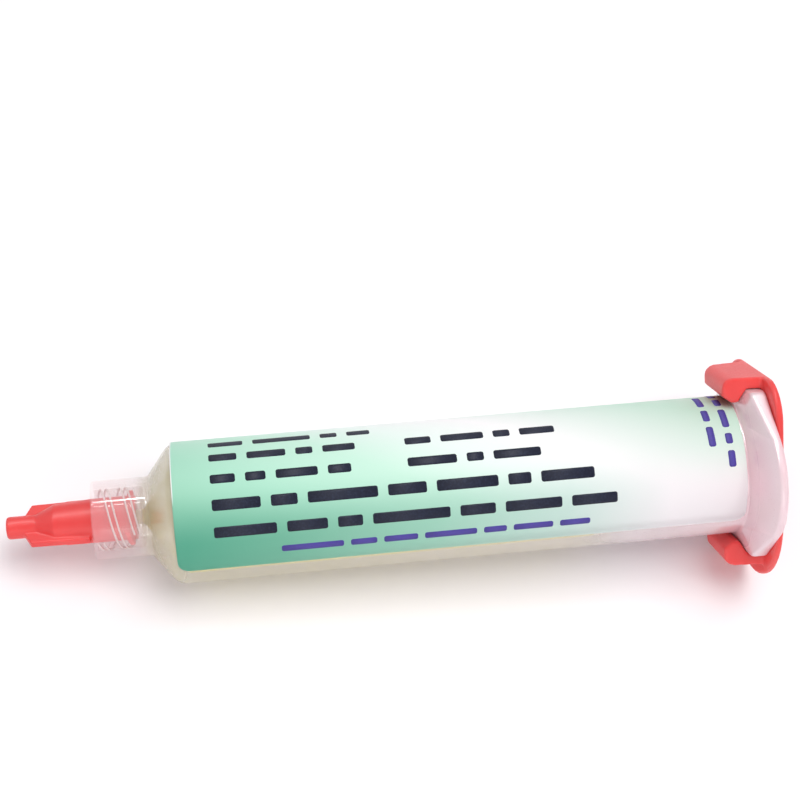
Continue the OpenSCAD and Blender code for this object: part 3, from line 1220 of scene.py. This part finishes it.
@dataclass
class EndCap:
    """The clip-on end cap: plate with thumb lip, pad, hollow plug and two hooks."""

    plate_z: float = 88.65
    plate_t: float = 0.95
    lobe_r: float = 10.8
    lobe_x: float = 4.7
    corner_r: float = 5.0
    edge: float = 0.3
    pad_r: float = 9.2
    pad_t: float = 0.9
    plug_r: float = 7.9
    plug_z: float = 83.0
    plug_wall: float = 1.2
    hook_in: float = 11.45
    hook_out: float = 13.0
    hook_z: float = 83.45
    hook_nose_r: float = 1.35
    lip_in: float = 9.65
    lip_outer_z: float = 86.546
    lip_inner_z: float = 85.503
    bevel: Pair = (0.9, 1.2)
    nose_w: float = 8.6
    root_w: float = 10.0
    overlap: float = 0.4
    plate_columns: int = 288
    plug_columns: int = 192
    grid_mm: float = 0.2

    def plate(self) -> Solid:
        """Lays out the plate as a ring with rounded edges."""
        discs = [Disc(self.lobe_x, 0, self.lobe_r)]
        for side in (-1, 1):
            y = side * (self.lobe_r - self.corner_r)
            discs.append(Disc(self.corner_r - self.hook_out, y, self.corner_r))
        inner_r = self.plug_r - self.plug_wall / 2
        low, high = on_axis(self.plate_z), on_axis(self.plate_z + self.plate_t)

        def section(angle: float) -> Loop:
            """Returns the ring's section in one direction."""
            rim, _ = outline_point(discs, angle)
            out = polar(1, angle)
            corners = [
                (out * inner_r + low, 0.0),
                (rim + low, self.edge),
                (rim + high, self.edge),
                (out * inner_r + high, 0.0),
            ]
            return round_corners(corners, closed=True)

        return turned(section, self.plate_columns, closed=True)

    def plug(self) -> Solid:
        """Lays out the pad and the plug round their one recess."""
        front = self.plate_z + self.overlap / 2
        back = self.plate_z + self.plate_t + self.pad_t
        recess = self.plug_r - self.plug_wall
        corners = [
            (0, self.plug_z, 0),
            (self.plug_r, self.plug_z, 0.5),
            (self.plug_r, front, 0),
            (self.pad_r, front, 0),
            (self.pad_r, back, 0.5),
            (recess, back, 0.4),
            (recess, self.plug_z + self.plug_wall, 0.5),
            (0, self.plug_z + self.plug_wall, 0),
        ]
        return lathe(corners, self.plug_columns)

    def hook(self, side: int) -> Solid:
        """Lays out one hook.

        Args:
            side: 1 for the hook beside the thumb lip, -1 for the other.

        Returns:
            The hook's points and faces.
        """
        top = self.plate_z + self.overlap
        r = self.hook_nose_r
        x, z = self.hook_out - r, self.hook_z + r
        turns = [math.radians(degrees) for degrees in range(-90, 1, 10)]
        outline = [
            (self.hook_in, top),
            (self.hook_in, self.lip_outer_z),
            (self.lip_in, self.lip_inner_z),
            (self.lip_in, self.hook_z + self.bevel[1]),
            (self.lip_in + self.bevel[0], self.hook_z),
            *((x + r * math.cos(a), z + r * math.sin(a)) for a in turns),
            (self.hook_out, top),
        ]

        def half_width(z: float) -> float:
            """Returns half the hook's width at a height."""
            share = (z - self.hook_z) / (top - self.hook_z)
            return (self.nose_w + (self.root_w - self.nose_w) * share) / 2

        return sweep(
            [[Vector((side * x, y * half_width(z), z)) for x, z in outline] for y in (-side, side)]
        )

    def build(self, plastic: Material) -> None:
        """Builds and dresses the end cap."""
        solids = [self.plate(), self.plug(), self.hook(1), self.hook(-1)]
        piece = fuse("end_cap_moulding", solids, self.grid_mm)
        finish_piece(piece, plastic, Body.REAR_CAP, Slot.CAP, "end_cap")


@dataclass
class TipCap:
    """The winged tip cap: rod, cone, body with a socket, two wings and two lugs."""

    rod_r: float = 1.475
    rod_z: float = -11.3
    cone_z: float = -5.1
    cone_len: float = 2.4
    neck_r: float = 2.6
    body_r: float = 2.9
    entry: float = 5.6
    socket_z: float = -2.8
    socket_r: float = 1.99
    socket_mouth_r: float = 2.24
    wing_t: float = 1.0
    wing_half: float = 3.4
    wing_front_half: float = 3.2
    wing_back_z: float = -0.5
    wing_len: float = 7.6
    wing_slant: float = 1.0
    wing_gap: float = 0.25
    turn: float = -57.0
    lug_r: float = 3.86
    lug_z: float = 4.62
    lug_len: float = 1.0
    lug_crest: float = 0.7
    lug_arc: float = 40.0
    lug_steps: int = 10
    lug_sink: float = 0.3
    thread_lead: float = 5.0
    overlap: float = 0.4
    grid_mm: float = 0.11

    def stem(self) -> Solid:
        """Lays out the rod, its cone and the body round the socket."""
        corners = [
            (0, self.rod_z, 0),
            (self.rod_r, self.rod_z, 0.45),
            (self.rod_r, self.cone_z - self.cone_len, 0.5),
            (self.neck_r, self.cone_z, 0.5),
            (self.body_r, 0, 0.3),
            (self.body_r, self.entry, 0.25),
            (self.socket_mouth_r, self.entry, 0.15),
            (self.socket_r, self.socket_z, 0.1),
            (0, self.socket_z, 0),
        ]
        return lathe(corners)

    def wing(self, side: int) -> Solid:
        """Lays out one wing, which stops short of the socket.

        Args:
            side: 1 or -1 for the side of the rod that it stands on.

        Returns:
            The wing's points and faces.
        """
        front = self.wing_back_z - self.wing_len
        root = self.socket_mouth_r + self.wing_gap
        outline = [
            (root, self.wing_back_z),
            (self.wing_half, self.wing_back_z),
            (self.wing_front_half, front),
            (self.rod_r - self.overlap / 2, front - self.wing_slant),
            (self.overlap, front - self.wing_slant),
            (self.overlap, self.socket_z - self.overlap),
            (root, self.socket_z - self.overlap),
        ]
        half = self.wing_t / 2
        turn = Matrix.Rotation(math.radians(self.turn), 4, "Z")
        return sweep(
            [[turn @ Vector((side * x, y * half, z)) for x, z in outline] for y in (side, -side)]
        )

    def lug(self, side: int) -> Solid:
        """Lays out one lug, which slants with the collar's thread.

        Args:
            side: 1 or -1 for the side of the body that it stands on.

        Returns:
            The lug's points and faces.
        """
        middle = math.radians(self.turn + (0 if side > 0 else 180))
        half = math.radians(self.lug_arc / 2)
        root, crest = self.lug_len / 2, self.lug_len * self.lug_crest / 2
        profile = [(self.body_r - self.lug_sink, -root), (self.lug_r, -crest)]
        profile += [(r, -z) for r, z in reversed(profile)]
        sections = []
        for k in range(self.lug_steps + 1):
            off = -half + 2 * half * k / self.lug_steps
            rise = self.lug_z + self.thread_lead * off / math.tau
            out = polar(1, middle + off)
            sections.append([out * r + on_axis(rise + z) for r, z in profile])
        return sweep(sections)

    def build(self, plastic: Material) -> None:
        """Builds and dresses the tip cap."""
        solids = [self.stem(), *map(self.wing, (1, -1)), *map(self.lug, (1, -1))]
        piece = fuse("tip_cap_moulding", solids, self.grid_mm)
        finish_piece(piece, plastic, Body.FRONT_CAP, Slot.CAP, "tip_cap")


class Role(Enum):
    """What a lamp gives: light on surfaces, its own reflection in them, or both."""

    LIGHT = "light"
    REFLECTION = "reflection"
    BOTH = "both"


@dataclass(frozen=True)
class Lamp:
    """One soft lamp of the studio, which points at the origin."""

    name: str
    place: tuple[float, float, float]
    width: float
    depth: float
    watts: float
    colour: str
    role: Role = Role.BOTH


@dataclass
class Studio:
    """The pale floor, the soft lamps, the surrounding light and the camera."""

    floor_side: float = 3.0
    floor_z: float = -0.00002
    sky_colour: str = "#FDFBFF"
    sky_strength: float = 0.54
    eye: tuple[float, float, float] = (-0.032176, -0.092964, 0.215891)
    turn: tuple[float, float, float] = (28.11670, -6.00374, -6.80617)
    lens: float = 76.5288
    sensor_width: float = 36.0
    clip_start: float = 0.01

    def lamps(self) -> list[Lamp]:
        """Returns the studio's lamps."""
        return [
            Lamp("key_lamp", (0.12, 0.01, 0.55), 0.36, 0.36, 1.95, "#FFFEFC", Role.LIGHT),
            Lamp("front_lamp", (-0.16, -0.5, 0.22), 0.5, 0.3, 0.6, "#FFFDFC"),
            Lamp("strip_card", (-0.16, 0.28, 0.53), 0.8, 0.04, 2.8, "#FFFFFF", Role.REFLECTION),
        ]

    def floor(self) -> None:
        """Lays the floor: matt paper that shows as white and keeps the shadow."""
        side, z = self.floor_side / 2, self.floor_z
        corners = [Vector((x * side, y * side, z)) for x, y in ((-1, -1), (1, -1), (1, 1), (-1, 1))]
        piece = make_piece("studio_floor", (corners, [(0, 1, 2, 3)]), laid=False)
        piece.data.materials.append(MattPaper().build())

    def light(self) -> None:
        """Sets the surrounding light and hangs the lamps."""
        scene = bpy.context.scene
        world = bpy.data.worlds.new("soft_white_room")
        scene.world = world
        node = empty_tree(world)
        sky = node(
            "ShaderNodeBackground",
            {"Color": linear(self.sky_colour), "Strength": self.sky_strength},
        )
        node("ShaderNodeOutputWorld", links={0: sky})
        for lamp in self.lamps():
            light = bpy.data.lights.new(lamp.name, "AREA")
            light.shape = "RECTANGLE"
            light.size = lamp.width
            light.size_y = lamp.depth
            light.energy = lamp.watts
            light.color = linear(lamp.colour)[:3]
            holder = bpy.data.objects.new(lamp.name, light)
            holder.location = lamp.place
            holder.rotation_euler = (-Vector(lamp.place)).to_track_quat("-Z", "Y").to_euler()
            holder.visible_diffuse = lamp.role is not Role.REFLECTION
            holder.visible_glossy = lamp.role is not Role.LIGHT
            scene.collection.objects.link(holder)

    def camera(self) -> None:
        """Sets the camera where the photograph was taken from."""
        data = bpy.data.cameras.new("photo_camera")
        data.lens = self.lens
        data.sensor_width = self.sensor_width
        data.clip_start = self.clip_start
        holder = bpy.data.objects.new("photo_camera", data)
        holder.location = self.eye
        holder.rotation_euler = Euler([math.radians(a) for a in self.turn], "XYZ")
        bpy.context.scene.collection.objects.link(holder)
        bpy.context.scene.camera = holder

    def build(self) -> None:
        """Builds the whole studio."""
        bpy.context.scene.view_settings.view_transform = "Standard"
        self.floor()
        self.light()
        self.camera()
        log.info("studio: floor, %d lamps, camera", len(self.lamps()))


def main() -> None:
    """Builds the syringe piece by piece, then the studio."""
    logging.basicConfig(level=logging.INFO, format="%(name)s: %(message)s")
    red = CAP_PLASTIC.build()
    Barrel().build(BARREL_PLASTIC.build(), THREAD_FLANK_HIGHLIGHT.build())
    Label().build(PrintedFilm().build())
    Filling().build(FLUX_PASTE.build())
    Piston().build(PISTON_PLASTIC.build())
    EndCap().build(red)
    TipCap().build(red)
    Studio().build()


if __name__ == "__main__":
    main()
